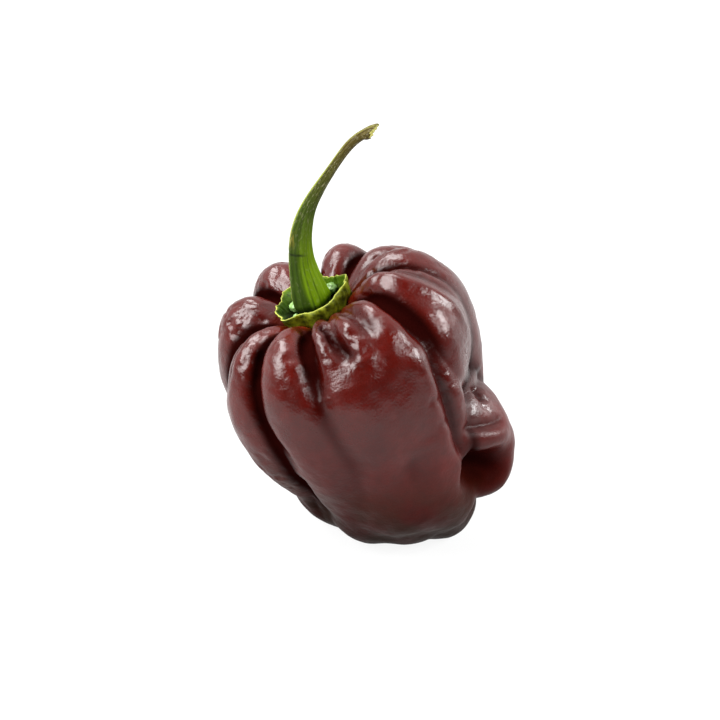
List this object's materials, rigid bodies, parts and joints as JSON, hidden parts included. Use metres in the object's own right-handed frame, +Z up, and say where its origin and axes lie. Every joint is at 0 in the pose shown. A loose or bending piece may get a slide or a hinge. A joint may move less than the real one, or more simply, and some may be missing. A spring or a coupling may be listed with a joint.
{
  "type": "habanero pepper pod",
  "caption": "Picked chocolate habanero pod: blocky, lobed and glossy, with a wavy cup calyx and a curved stem, resting on its lower lobes.",
  "frame": {"origin": "on the resting surface, under the middle of the whole object's box", "axes": "+Z up as the pod rests; the pod's own axis leans 24 degrees towards -X, and the stem's tip bends back towards +X"},
  "size_m": [0.0504, 0.0454, 0.0733],
  "materials": {
    "skin": "waxy, glossy ripe skin, chocolate brown over deep red, redder near the calyx",
    "calyx": "fleshy yellow-green cup, mottled, with a thin pale rim",
    "stem": "ribbed green stalk, satin, browner towards the dry cut end"
  },
  "bodies": {
    "root": {"pod": "skin", "calyx": "calyx", "stem": "stem"}
  },
  "joints": []
}
